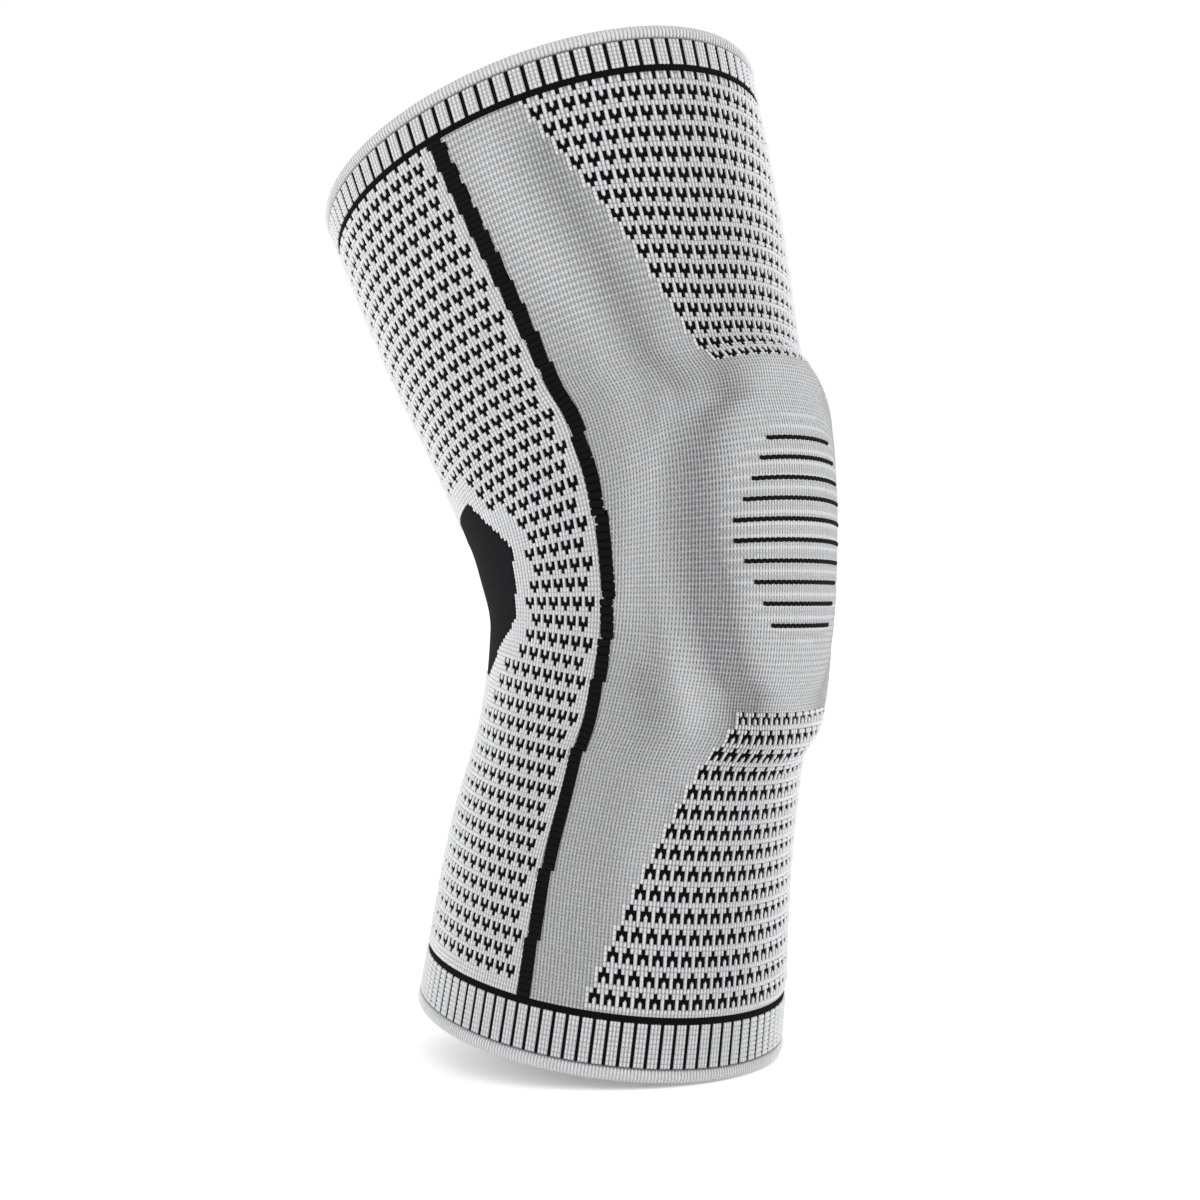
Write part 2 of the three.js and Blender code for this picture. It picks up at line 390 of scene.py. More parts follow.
# %% Build a shell from cells
def shell(name, outer, inner, kept, uv, numbers, wrap=False):
    """A closed shell. outer, inner: grids of points. kept: the cells that are there. uv: the knit
    coordinates of the grid's corners. numbers: values for each cell."""
    rows, cols = outer.shape[:2]
    index = np.arange(rows * cols).reshape(rows, cols)
    right = np.roll(index, -1, axis=1) if wrap else index[:, 1:]
    left = index if wrap else index[:, :-1]
    a, b, c, d = left[:-1], right[:-1], right[1:], left[1:]
    whole = np.stack([a, b, c, d], axis=-1)
    quads = whole[kept]
    inside = quads[:, ::-1] + rows * cols
    padded = np.pad(kept, ((1, 1), (0, 0)))
    padded = np.pad(padded, ((0, 0), (1, 1)), mode="wrap" if wrap else "constant")
    walls, owners = [], []
    serial = np.full(kept.shape, -1)
    serial[kept] = np.arange(kept.sum())
    for edge, (dr, dc) in enumerate([(-1, 0), (0, 1), (1, 0), (0, -1)]):
        beside = padded[1 + dr : 1 + dr + kept.shape[0], 1 + dc : 1 + dc + kept.shape[1]]
        bare = kept & ~beside
        one, two = whole[bare][:, edge], whole[bare][:, (edge + 1) % 4]
        walls.append(np.stack([two, one, one + rows * cols, two + rows * cols], axis=-1))
        owners.append(serial[bare])
    faces = np.concatenate([quads, inside, *walls])
    owner = np.concatenate([np.arange(len(quads)), np.arange(len(quads)), *owners])
    points = np.concatenate([outer.reshape(-1, 3), inner.reshape(-1, 3)])
    used, faces = np.unique(faces, return_inverse=True)
    faces = faces.reshape(-1, 4)
    mesh = bpy.data.meshes.new(name)
    mesh.from_pydata(points[used].tolist(), [], faces.tolist())
    layer = mesh.uv_layers.new(name="Knit")
    corner_uv = np.concatenate([uv.reshape(-1, 2), uv.reshape(-1, 2)])[used][faces.ravel()]
    if wrap:
        corner_uv = corner_uv.reshape(-1, 4, 2)
        width = np.ptp(uv[..., 0]) * (1 + 1 / (cols - 1))
        jump = corner_uv[..., 0].max(axis=1, keepdims=True) - corner_uv[..., 0]
        corner_uv[..., 0] += np.where(jump > width / 2, width, 0)
        corner_uv = corner_uv.reshape(-1, 2)
    layer.data.foreach_set("uv", corner_uv.astype(np.float32).ravel())
    for key, values in numbers.items():
        attribute = mesh.attributes.new(key, "FLOAT", "FACE")
        attribute.data.foreach_set("value", values[kept][owner].astype(np.float32))
    part = np.zeros(len(faces), np.int32)
    part[len(quads) : 2 * len(quads)] = 1
    mesh.polygons.foreach_set("material_index", part)
    mesh.shade_smooth()
    mesh.update()
    piece = add_object(name, mesh)
    print(name, len(faces) * 2, "triangles")
    return piece


# %% [markdown]
# ## The front cloth
#
# The front reaches from one side stripe to the other. Its grid follows the knit: columns on the
# wales, and rows on the courses of the thigh field, then of the kneecap, then of the calf field.
# Over the calf the wales stand a little further apart.

# %% Grid of the front
plain_course = 0.00104  # height of a plain stitch
grid_wales = 56  # wales that follow the knit, each side
side_columns = 16  # columns from there to the stripe
thigh_forks, calf_forks = 15, 15  # rows of forks
knee_count = 56  # rows of cells between the two fields
slant_from, slant_over = 20, 32  # wales past which a thigh row rises sideways, and for how many
least_course = 1e-4  # least height of a course beside a cuff, as up
calf_stretch = curve_through([0.05, 0.38, 0.5, 0.6, 0.95], [1.11, 1.14, 1.06, 1.0, 1.0])

wales = np.arange(-grid_wales, grid_wales + 1)
corner_wale = np.arange(-grid_wales, grid_wales + 2) - 0.5


def front_share(wale, up):
    """Share of the girth of a wale of the front, at a height."""
    return wale * calf_stretch(up) / share_unit


def thigh_up(course, wale):
    row = course / fork_courses
    rise = np.clip(np.abs(wale) - slant_from, 0, slant_over) * thigh_slant(row)
    return thigh_curve(row) + rise


def calf_up(course, wale):
    return np.full(len(wale), calf_curve(course / fork_courses))


top_up, foot_up = up_of(body_span[1]), up_of(body_span[0])
thigh_courses = np.arange(-1, fork_courses * thigh_forks + 2) - 0.5
calf_courses = np.arange(-1, fork_courses * calf_forks + 2) - 0.5
row_ups = [np.full(len(corner_wale), top_up)]
row_ups += [
    np.minimum(thigh_up(c, corner_wale), top_up - least_course) for c in thigh_courses[2:]
]
knee_from = row_ups[-1]
knee_to = calf_up(calf_courses[1], corner_wale)
row_ups += [knee_from + (knee_to - knee_from) * k / knee_count for k in range(1, knee_count)]
first_calf_row = len(row_ups)
row_ups += [
    np.maximum(calf_up(c, corner_wale), foot_up + least_course) for c in calf_courses[1:-1]
]
row_ups += [np.full(len(corner_wale), foot_up)]
row_ups = np.array(row_ups)[::-1]  # upwards
print("front rows", row_ups.shape)


# %% [markdown]
# Past the last of these wales a few columns run on to the middle of the stripe.

# %% Points of the front
def with_sides(grid, outward):
    """The grid with columns to the stripes: outward gives the values at the stripe."""
    steps = np.linspace(0, 1, side_columns + 1)[1:]
    right = grid[:, -1:] + (outward[:, None] - grid[:, -1:]) * steps
    left = grid[:, :1] + (-outward[:, None] - grid[:, :1]) * steps[::-1]
    return np.concatenate([left, grid, right], axis=1)


edge_share = stripe_share(s_of(row_ups[:, -1]))
front_shares = with_sides(front_share(corner_wale[None, :], row_ups), edge_share)
front_s = s_of(np.pad(row_ups, ((0, 0), (side_columns, side_columns)), mode="edge"))


def front_wales_of(s, share):
    """Wales from the front's middle, for places on the front."""
    return share * share_unit / calf_stretch(up_of(s))


front_wales = front_wales_of(front_s, front_shares)
front_uv = paired(front_wales, front_s / plain_course)

# %% [markdown]
# Stretched over a knee, the plain cloth lies in long soft folds. One runs down the middle of the
# band and on past the pad, with a hollow in front of it. A real drape would need a leg under the
# cloth, so the folds are drawn instead, each as a line on the cloth with a height and a width.
# `wale` counts from the front's middle. Both sides get the same folds, gentler on the far one. The
# folds' heights are also painted into the cloth's colour: painted light on their ridges, painted
# shade in their hollows.

# %% Folds
folds = [
    {"height": 0.55, "width": 0.0060, "path": table(
        "up wale", (0.90, 65), (0.81, 61), (0.72, 54), (0.65, 51), (0.58, 54), (0.47, 62))},
    {"height": 0.5, "width": 0.0031, "path": table(
        "up wale", (0.61, 42), (0.55, 50), (0.50, 51), (0.44, 47), (0.38, 38))},
    {"height": -0.6, "width": 0.0062, "path": table(
        "up wale", (0.88, 52), (0.75, 44), (0.64, 38))},
    {"height": -0.95, "width": 0.0078, "path": table(
        "up wale", (0.60, 24), (0.58, 32), (0.53, 38), (0.48, 36), (0.43, 30), (0.40, 20))},
    {"height": -0.5, "width": 0.0075, "path": table(
        "up wale", (0.46, 35), (0.43, 30), (0.40, 24))},
    {"height": -0.3, "width": 0.0075, "path": table(
        "up wale", (0.40, 54), (0.35, 46), (0.29, 38))},
]
fold_height = 0.0005
fold_end = 0.5  # how fast a fold fades past its ends, as a share of how fast it does sideways
far_folds = 0.35  # height of the folds on the far side, as a share


def fold_at(s, share):
    """The height of the folds at places on the front, as a share of fold_height."""
    total = np.zeros(np.broadcast(s, share).shape)
    for fold in folds:
        rows = sorted(fold["path"], key=lambda row: row["up"])
        up = up_of(s)
        beside = (np.abs(share) - curve_of(rows, "up", "wale")(up) / share_unit) * girth_at(s)
        past = np.maximum(rows[0]["up"] - up, up - rows[-1]["up"])
        beyond = np.maximum(past, 0) * cloth_length
        away = np.hypot(beside, beyond * fold_end)
        total += fold["height"] * lobe(away, 0, fold["width"])
    return total * np.where(share > 0, far_folds, 1.0)


front_outer = cloth_at(front_s, front_shares, -fold_height * fold_at(front_s, front_shares))
front_inner = cloth_at(front_s, front_shares, fabric_wall)

# %% [markdown]
# The thigh field narrows by two wales a side with each row of forks, so it comes down as a wedge.
# The calf field widens by two. One more light wale lies outside the last fork.

# %% Chart of the front
front_cells = (front_outer.shape[0] - 1, front_outer.shape[1] - 1)
row_count = front_cells[0]
black_front = np.zeros(front_cells, bool)
figured_front = np.zeros(front_cells, bool)
thigh_reach, calf_reach = 51, 19  # wales from the middle to the outermost fork of the first row
narrowing = 2  # wales by which each row is set in or out
column_of = {w: side_columns + w + grid_wales for w in wales}


def thigh_middles(row):
    start = -thigh_reach + narrowing * row
    return range(start, -start - 1, fork_wales)


def calf_middles(row):
    start = -calf_reach - narrowing * row
    return range(start, -start + 3, fork_wales)


def thigh_cell_row(course):
    """The grid row of a thigh course: course 0 lies under the ring."""
    return row_count - 1 - course


def calf_cell_row(course):
    return row_count - 1 - (first_calf_row - 1 + course)


def stamp(middles, rows, glyph, cell_row, first_course):
    for row in range(rows):
        spots = list(middles(row))
        top = fork_courses * row
        for course in range(top + first_course, top + first_course + fork_courses):
            span = slice(column_of[spots[0] - 2], column_of[spots[-1] + 2] + 1)
            if 0 <= cell_row(course) < row_count:
                figured_front[cell_row(course), span] = True
        for middle in spots:
            for over, down in glyph:
                at = cell_row(top + down)
                if 0 <= at < row_count:
                    black_front[at, column_of[middle + over]] = True


stamp(thigh_middles, thigh_forks, fork, thigh_cell_row, 1)
stamp(calf_middles, calf_forks, fork_down, calf_cell_row, 0)
for middle in range(-thigh_reach - narrowing, thigh_reach + narrowing + 1, fork_wales):
    black_front[thigh_cell_row(0), column_of[middle]] = True
    figured_front[thigh_cell_row(0), column_of[middle] - 1 : column_of[middle] + 2] = True

# %% [markdown]
# Other numbers on the cells say where the pinholes are wider and darkened with painted shade in the
# folds' hollows, and where the knit has ridges. One more sets how light the colour is: painted
# light on the folds' ridges and painted shade in their hollows, lighter over the oval on the
# kneecap and darker on the lower side band.

# %% Numbers for the front's cells
centre_s, centre_share = centres(front_s), centres(front_shares)
stripe_half = stripe_wales / 2 / share_unit
stripe_ground = 0.95  # share of the stripe's width that is black under its ribs
stripe_clear = 1.1  # and the share within which there are no figures
from_stripe = np.abs(np.abs(centre_share) - stepped_stripe(centre_s))
in_stripe = from_stripe < stripe_half * stripe_ground
oval_height, oval_middle, oval_turn = 0.066, 0.511, math.radians(30)
oval_edge = 1.05
thigh_ups, band_wales = (0.62, 0.78), (34, 48)  # where the thigh and the side band begin
kneecap_ridges, least_ridges = 0.8, 0.2
# how much lighter the kneecap oval and how much darker the lower side band are made
kneecap_lightening, lower_band_darkening = 0.4, 0.85

centre_up, centre_angle = up_of(centre_s), angle_at(centre_s, centre_share)
oval_share = np.hypot((centre_up - oval_middle) / oval_height, centre_angle / oval_turn)
on_kneecap = oval_share < oval_edge
on_thigh = smooth(centre_up, *thigh_ups)
lower_band = (1 - on_thigh) * smooth(np.abs(front_wales_of(centre_s, centre_share)), *band_wales)
folded = fold_at(centre_s, centre_share)
# The folds' heights also set the colour below: painted light on their ridges, painted shade in
# their hollows.
front_numbers = {
    "black": (black_front | in_stripe).astype(float),
    # figured cells take the painted shade of the ground under their raised stitches
    "figured": (figured_front & (from_stripe > stripe_half * stripe_clear)).astype(float),
    # open knit: wider pinholes, darkened with painted shade, in the folds' hollows
    "open_knit_and_hollow_shade": np.clip(-folded, 0, 1),
    "ridged": np.clip(least_ridges + on_thigh + kneecap_ridges * on_kneecap, 0, 1),
    # the ease number: painted light on the folds' ridges, painted shade in their hollows, lighter
    # on the kneecap oval, darker on the lower side band
    "ease": np.clip(folded, -1, 1) + kneecap_lightening * on_kneecap - lower_band_darkening * lower_band,
}
front_cloth = shell(
    "front_cloth", front_outer, front_inner, np.ones(front_cells, bool), front_uv, front_numbers
)

# %% [markdown]
# ## The back cloth and the panel
#
# The back reaches round behind, from stripe to stripe. A smooth black panel lies behind the knee,
# where the cloth folds. It is knitted in, so its edge is a fine stair of stitches, and the cells
# that the panel takes are left out of the back cloth.

# %% Grid of the back
back_wales = 83  # from a stripe to the middle of the back
back_courses = 188
edge_gap = 5e-4  # least height of a course beside a cuff, as up
panel_outline = table("along turn", (0.21, 63), (0.054, 79.5), (-0.11, 76), (-0.26, 54))
figure_middle = 2.5  # courses from the top of a row of forks to the place that its table gives
corner_row = (np.arange(-1, back_courses + 1) + 0.5 - figure_middle) / fork_courses
last_row = back_rows[-1]["row"]
first_step = back_curve(0) - back_curve(1)
last_step = back_curve(last_row - 1) - back_curve(last_row)
past_top, past_foot = np.minimum(corner_row, 0), np.maximum(corner_row - last_row, 0)
back_ups = back_curve(corner_row) - past_top * first_step - past_foot * last_step
inside = (back_ups < top_up - edge_gap) & (back_ups > foot_up + edge_gap)
first_back_course = int(np.argmax(inside))
back_ups = np.concatenate([[top_up], back_ups[inside], [foot_up]])[::-1]
back_s = s_of(back_ups)
back_wale = np.arange(-back_wales, back_wales + 2) - 0.5  # 0 at the middle of the back


def back_share(from_middle, s):
    """Share of the girth, 0.5 at the middle of the back, for wales counted from there."""
    edge = stripe_curve(up_of(s))
    reach = back_wales + 0.5
    wale = edge + (half_round - edge) * (1 - np.abs(from_middle) / reach)
    return np.where(from_middle < 0, wale_share(wale), 1 - wale_share(wale))


back_shares = back_share(back_wale[None, :], back_s[:, None])
wrapped = wrapped_share(back_shares)
back_grid_s = np.repeat(back_s[:, None], len(back_wale), axis=1)
back_outer = cloth_at(back_grid_s, wrapped)
back_inner = cloth_at(back_grid_s, wrapped, fabric_wall)
back_cells = (back_outer.shape[0] - 1, back_outer.shape[1] - 1)
print("back cells", back_cells)

# %% Which cells the panel takes
centre_back_s = (back_s[:-1] + back_s[1:])[:, None] / 2 + np.zeros(back_cells)
centre_back_wale = (back_wale[:-1] + back_wale[1:])[None, :] / 2 + np.zeros(back_cells)
centre_wrapped = wrapped_share(back_share(centre_back_wale, centre_back_s))
turn = 180 - np.abs(np.degrees(angle_at(centre_back_s, centre_wrapped)))
panel_s = places_of(panel_outline)
panel_turn = [r["turn"] for r in panel_outline]
limit = np.interp(centre_back_s, panel_s[::-1], panel_turn[::-1])
in_panel = (turn < limit) & (centre_back_s < panel_s[0]) & (centre_back_s > panel_s[-1])
border = 3  # plain wales round the panel
near_panel = in_panel.copy()
for step in range(-border, border + 1):
    near_panel |= np.roll(in_panel, step, axis=1)
for step in range(-border + 1, border):
    near_panel |= np.roll(near_panel, step, axis=0) & (step != 0)

# %% Chart of the back
reach = back_wales - 4  # wales from the middle to the last that may be black
back_fork_rows = 48


def back_course_row(course):
    return back_cells[0] - 1 - (course - first_back_course)


black_back = np.zeros(back_cells, bool)
for row in range(-1, back_fork_rows):
    set_over = fork_wales // 2 * (row % 2)  # every second row is set half a step over
    for middle in range(-back_wales - 1 + set_over, back_wales + 3, fork_wales):
        top = fork_courses * row
        spots = [(back_course_row(top + down), middle + over) for over, down in fork]
        spots = [(r, w + back_wales) for r, w in spots if abs(w) <= reach and r < back_cells[0]]
        if not spots or min(r for r, w in spots) < 1 or abs(middle) > reach:
            continue
        if not any(near_panel[r, w] for r, w in spots):
            for r, w in spots:
                black_back[r, w] = True
back_from_stripe = np.abs(np.abs(centre_wrapped) - stepped_stripe(centre_back_s))
stripe_cells = back_from_stripe < stripe_half * stripe_ground
back_uv = paired(back_wale[None, :], np.arange(len(back_s), dtype=float)[:, None])
zero = np.zeros(back_cells)
back_numbers = {
    "black": (black_back | stripe_cells).astype(float),
    "figured": (back_from_stripe > stripe_half * stripe_clear).astype(float),
    "open_knit_and_hollow_shade": zero,
    "ridged": zero,
    "ease": zero,
}
back_cloth = shell("back_cloth", back_outer, back_inner, ~in_panel, back_uv, back_numbers)

# %% [markdown]
# The panel's cells lie a hair proud of the cloth, because its knit is denser.

# %% The panel
panel_lift = 0.00015
panel_course = 0.0008
panel_outer = cloth_at(back_grid_s, wrapped, -panel_lift)
panel_uv = paired(back_uv[..., 0], back_grid_s / panel_course)
panel_numbers = {"black": np.ones(back_cells)}
panel = shell(
    "popliteal_panel_cloth", panel_outer, back_inner, in_panel, panel_uv, panel_numbers
)

# %% [markdown]
# ## The pad
#
# A soft ring lies under the front, round the kneecap. It is cast in one piece with a smooth satin
# skin. Its thickness follows the swelling that it makes in the cloth. Its rims are rounded, and its
# points lie closer together there.

# %% The pad
pad_spokes, pad_rings = 128, 25
rim_power = 8  # how tightly the rims are rounded
pad_ways = 0.5 - 0.5 * np.cos(np.linspace(0, math.pi, pad_rings))  # close together at the rims
pad_shares = pad_hole + (pad_edge - pad_hole) * pad_ways
pad_skin = fabric_wall + seam_gap
round_off = np.sqrt(np.clip(1 - (2 * pad_ways - 1) ** rim_power, 0, 1))  # falls to 0 at both rims
thickness = np.clip(swell(pad_shares) - seam_gap, pad_least, pad_swell)
outer_depth = pad_skin + (1 - round_off) * thickness / 2
inner_depth = pad_skin + thickness - (1 - round_off) * thickness / 2
spokes = np.arange(pad_spokes) * 2 * math.pi / pad_spokes
loop_share = np.concatenate([pad_shares, pad_shares[-2:0:-1]])
loop_depth = np.concatenate([outer_depth, inner_depth[-2:0:-1]])
pad_s = loop_share[None, :] * pad_half_height * np.cos(spokes)[:, None] - pad_drop
pad_angle = loop_share[None, :] * pad_half_width * np.sin(spokes)[:, None]
pad_angle /= knee_radius + pad_swell
pad_points = point_at(pad_s, pad_angle, loop_depth[None, :])


def ring_of(name, points):
    """A closed ring whose rows and columns both run round and meet themselves."""
    rows, cols = points.shape[:2]
    index = np.arange(rows * cols).reshape(rows, cols)
    beside, above = np.roll(index, -1, axis=1), np.roll(index, -1, axis=0)
    faces = np.stack([index, beside, np.roll(beside, -1, axis=0), above], axis=-1).reshape(-1, 4)
    mesh = bpy.data.meshes.new(name)
    mesh.from_pydata(points.reshape(-1, 3).tolist(), [], faces.tolist())
    mesh.shade_smooth()
    piece = add_object(name, mesh)
    volume = sum(
        mesh.vertices[a].co.cross(mesh.vertices[b].co).dot(mesh.vertices[c].co)
        for f in faces.tolist()
        for a, b, c in ((f[0], f[1], f[2]), (f[0], f[2], f[3]))
    )
    if volume < 0:
        mesh.flip_normals()
    print(name, len(faces) * 2, "triangles, volume", round(abs(volume) / 6 * 1e6, 2), "cm3")
    return piece


gel_ring = ring_of("gel_ring", pad_points)

# %% [markdown]
# ## Stitches by Geometry Nodes
#
# Thousands of stitches share one small mesh. Modelling each by hand is out of the question, and a
# bump would leave the silhouette smooth. The points are worked out from the knit's grid, and each
# carries its own directions and size. The node tree puts a stitch on each point, turns it by
# those directions, scales it, and makes the result real geometry.


# %% The node tree
def add_node(tree, kind, inputs=None, **settings):
    """A node with its settings, whose inputs are numbers or other nodes' outputs."""
    node = tree.nodes.new(kind)
    for key, value in settings.items():
        setattr(node, key, value)
    for key, value in (inputs or {}).items():
        if isinstance(value, bpy.types.NodeSocket):
            tree.links.new(value, node.inputs[key])
        else:
            node.inputs[key].default_value = value
    return node


def stitch_tree():
    tree = bpy.data.node_groups.new("Stitches on points", "GeometryNodeTree")
    face = tree.interface
    face.new_socket("Points", in_out="INPUT", socket_type="NodeSocketGeometry")
    face.new_socket("Stitch", in_out="INPUT", socket_type="NodeSocketObject")
    face.new_socket("Scale", in_out="INPUT", socket_type="NodeSocketFloat")
    face.new_socket("Yarn", in_out="INPUT", socket_type="NodeSocketMaterial")
    face.new_socket("Stitches", in_out="OUTPUT", socket_type="NodeSocketGeometry")
    given = add_node(tree, "NodeGroupInput").outputs
    named = {
        key: add_node(
            tree, "GeometryNodeInputNamedAttribute", {"Name": key}, data_type="FLOAT_VECTOR"
        ).outputs["Attribute"]
        for key in ("across", "outward", "stitch_size")
    }
    turned = add_node(
        tree,
        "FunctionNodeAxesToRotation",
        {"Primary Axis": named["outward"], "Secondary Axis": named["across"]},
        primary_axis="Z",
        secondary_axis="X",
    )
    scaled = add_node(
        tree,
        "ShaderNodeVectorMath",
        {0: named["stitch_size"], "Scale": given["Scale"]},
        operation="SCALE",
    )
    stitch = add_node(tree, "GeometryNodeObjectInfo", {"Object": given["Stitch"]})
    placed = add_node(
        tree,
        "GeometryNodeInstanceOnPoints",
        {
            "Points": given["Points"],
            "Instance": stitch.outputs["Geometry"],
            "Rotation": turned.outputs[0],
            "Scale": scaled.outputs["Vector"],
        },
    )
    real = add_node(tree, "GeometryNodeRealizeInstances", {"Geometry": placed.outputs[0]})
    dyed = add_node(
        tree, "GeometryNodeSetMaterial", {"Geometry": real.outputs[0], "Material": given["Yarn"]}
    )
    add_node(tree, "NodeGroupOutput", {0: dyed.outputs[0]})
    return tree


stitches_on_points = stitch_tree()


def lay_stitches(name, stitch, yarn, places, scale=1.0):
    """A piece made of one stitch on each place. places: points, across, outward, size."""
    points, across, outward, size = [np.asarray(p, float).reshape(-1, 3) for p in places]
    mesh = bpy.data.meshes.new(name)
    mesh.from_pydata(points.tolist(), [], [])
    for key, values in (("across", across), ("outward", outward), ("stitch_size", size)):
        attribute = mesh.attributes.new(key, "FLOAT_VECTOR", "POINT")
        attribute.data.foreach_set("vector", values.astype(np.float32).ravel())
    piece = add_object(name, mesh)
    modifier = piece.modifiers.new("Stitches", "NODES")
    modifier.node_group = stitches_on_points
    sockets = {s.name: s.identifier for s in stitches_on_points.interface.items_tree}
    modifier[sockets["Stitch"]] = stitch
    modifier[sockets["Scale"]] = scale
    modifier[sockets["Yarn"]] = yarn
    seen = piece.evaluated_get(bpy.context.evaluated_depsgraph_get())
    made = bpy.data.meshes.new_from_object(seen)
    piece.modifiers.clear()
    piece.data = made
    made.shade_smooth()
    triangles = sum(len(p.vertices) - 2 for p in made.polygons)
    print(name, len(points), "stitches,", triangles, "triangles")
    return piece


def sizes_of(count, wide, high, proud):
    """Widths, heights and rises of a number of stitches, from single values or lists."""
    return np.stack([np.broadcast_to(value, count) for value in (wide, high, proud)], axis=-1)


def standing(s, share, size, inset=0.0):
    """Places for stitches of these sizes on the cloth."""
    here, across, _, outward = frame_at(s, share, inset)
    return here, across, outward, size


def joined(groups):
    """Several groups of places as one."""
    return [np.concatenate(parts) for parts in zip(*groups)]


# %% [markdown]
# The stitch itself is a pointed oval dome, one wale wide and one course high, with a flat foot
# sunk in the cloth. Its few faces are enough, because it is about a millimetre across. The rib is
# a wider bar with rounded ends.


# %% The stitch and the rib
def small_mesh(name, points, faces):
    mesh = bpy.data.meshes.new(name)
    mesh.from_pydata(points, [], faces)
    return bpy.data.objects.new(name, mesh)


foot = -0.25
half_width, shoulder = 0.43, 0.2
oval = [(0, -0.5), (half_width, -shoulder), (half_width, shoulder)]
oval += [(-x, -y) for x, y in oval]
stitch_points = [(x, y, foot) for x, y in oval] + [(0, -shoulder, 1), (0, shoulder, 1)]
stitch_faces = [(0, 1, 6), (1, 2, 7, 6), (2, 3, 7), (3, 4, 7), (4, 5, 6, 7), (5, 0, 6)]
stitch_faces.append((5, 4, 3, 2, 1, 0))
dome_stitch = small_mesh("dome_stitch", stitch_points, stitch_faces)


def bar_mesh(name, ends, bluntness=6, along=6, over=5):
    """A rounded bar along X, 1 wide, 1 high and 1 thick, with its foot under the cloth. ends: the
    thickness of its ends, as a share."""
    points, faces = [], []
    for i in range(along + 1):
        x = math.cos(math.pi * (1 - i / along))
        shrink = (1 - abs(x) ** bluntness) ** 0.5 * (1 - ends) + ends
        for j in range(over + 1):
            turn = math.pi * j / over
            y, z = -math.cos(turn) * 0.5 * shrink, math.sin(turn) * shrink
            points.append((x * 0.5, y, z if 0 < j < over else foot))
    width = over + 1
    for i in range(along):
        for j in range(over):
            a = i * width + j
            faces.append((a, a + width, a + width + 1, a + 1))
        a = i * width
        faces.append((a + over, a + width + over, a + width, a))
    faces.append(tuple(range(width)))
    faces.append(tuple(along * width + j for j in reversed(range(width))))
    return small_mesh(name, points, faces)


rib_bar = bar_mesh("rib_bar", ends=0.94)

# %% [markdown]
# ## Yarns and finishes
#
# Every finish is made from nodes. The figured cloth keeps its colours in numbers on its faces, so
# the dye follows the knit. The fine relief of the plain band reads the Knit UV map, where one
# unit is one stitch.


# %% Small tools for materials
def blank(name, roughness, **constants):
    """A material with its shader; the constants are set on the shader's own sockets."""
    material = bpy.data.materials.new(name)
    material.use_nodes = True
    tree = material.node_tree
    shader = tree.nodes["Principled BSDF"]
    shader.inputs["Roughness"].default_value = roughness
    for key, value in constants.items():
        shader.inputs[key.replace("_", " ")].default_value = value
    return material, tree, shader


def maths(tree, operation, *values):
    node = add_node(tree, "ShaderNodeMath", dict(enumerate(values)), operation=operation)
    return node.outputs[0]


def falling(tree, value, full, none):
    """1 where the value is under full, easing to 0 where it is over none."""
    settings = {"Value": value, "From Min": full, "From Max": none, "To Min": 1.0, "To Max": 0.0}
    node = add_node(tree, "ShaderNodeMapRange", settings, interpolation_type="SMOOTHSTEP")
    return node.outputs[0]


def blend_of(tree, factor, one, two):
    """Colour one where the factor is 0 and colour two where it is 1."""
    node = add_node(tree, "ShaderNodeMix", {0: factor}, data_type="RGBA")
    for socket, value in ((node.inputs[6], one), (node.inputs[7], two)):
        if isinstance(value, bpy.types.NodeSocket):
            tree.links.new(value, socket)
        else:
            socket.default_value = (*value, 1)
    return node.outputs[2]


def number_of(tree, name):
    return add_node(tree, "ShaderNodeAttribute", attribute_name=name).outputs["Fac"]


def from_half(tree, value):
    """How far a value is from the middle between two whole numbers, from 0 to 0.5."""
    past = maths(tree, "SUBTRACT", maths(tree, "FRACT", value), 0.5)
    return maths(tree, "ABSOLUTE", past)


def knit_places(tree):
    """The course of a point, and how far it is from the middle of its wale and of its course."""
    uv = add_node(tree, "ShaderNodeUVMap", uv_map="Knit").outputs[0]
    wale, course, _ = add_node(tree, "ShaderNodeSeparateXYZ", {0: uv}).outputs
    return course, from_half(tree, wale), from_half(tree, course)


def fuzz(tree, scale, detail=2.0):
    place = add_node(tree, "ShaderNodeTexCoord").outputs["Object"]
    settings = {"Vector": place, "Scale": scale, "Detail": detail}
    return add_node(tree, "ShaderNodeTexNoise", settings).outputs["Fac"]


def relief(tree, shader, height, distance, strength=1.0):
    bump = {"Height": height, "Distance": distance, "Strength": strength}
    tree.links.new(add_node(tree, "ShaderNodeBump", bump).outputs[0], shader.inputs["Normal"])


# %% [markdown]
# The cloth. The plain band is a fine light grey knit with dark pinholes between its stitches and a
# ridge every second course; the middle of each stitch is painted lighter and each groove darker,
# painted light and shade. In the folds' hollows the pinholes are wider, and darker with painted
# shade. Under the raised light yarn of the figures the ground is a shadowed mid grey, painted
# shade, and the black stitches lie flat in it.

# %% Cloth
light_yarn_colour = (0.6, 0.603, 0.61)
band_dark, band_light = (0.145, 0.146, 0.148), (0.49, 0.493, 0.499)
pinhole_colour = (0.05, 0.05, 0.055)
# painted shade: the ground under and between the raised light stitches, in the figures and the
# cuffs
shadowed_ground_colour = (0.36, 0.36, 0.37)
black_colour = (0.0025, 0.0025, 0.003)
dull = 0.08  # specular level of cotton-like yarn
hole_size, hole_opening = 0.2, 0.16  # of a stitch; the second is added where the knit is open
# the pinholes' darkness, and the painted shade added to them in the folds' hollows
hole_shade, hollow_shade_on_holes = 0.8, 0.4
# painted light on each stitch's bead, the weight of the lighter and darker ease number, and painted
# shade in the grooves
bead_shade, fold_light_and_tone, groove_shade = 0.34, 0.3, 0.26


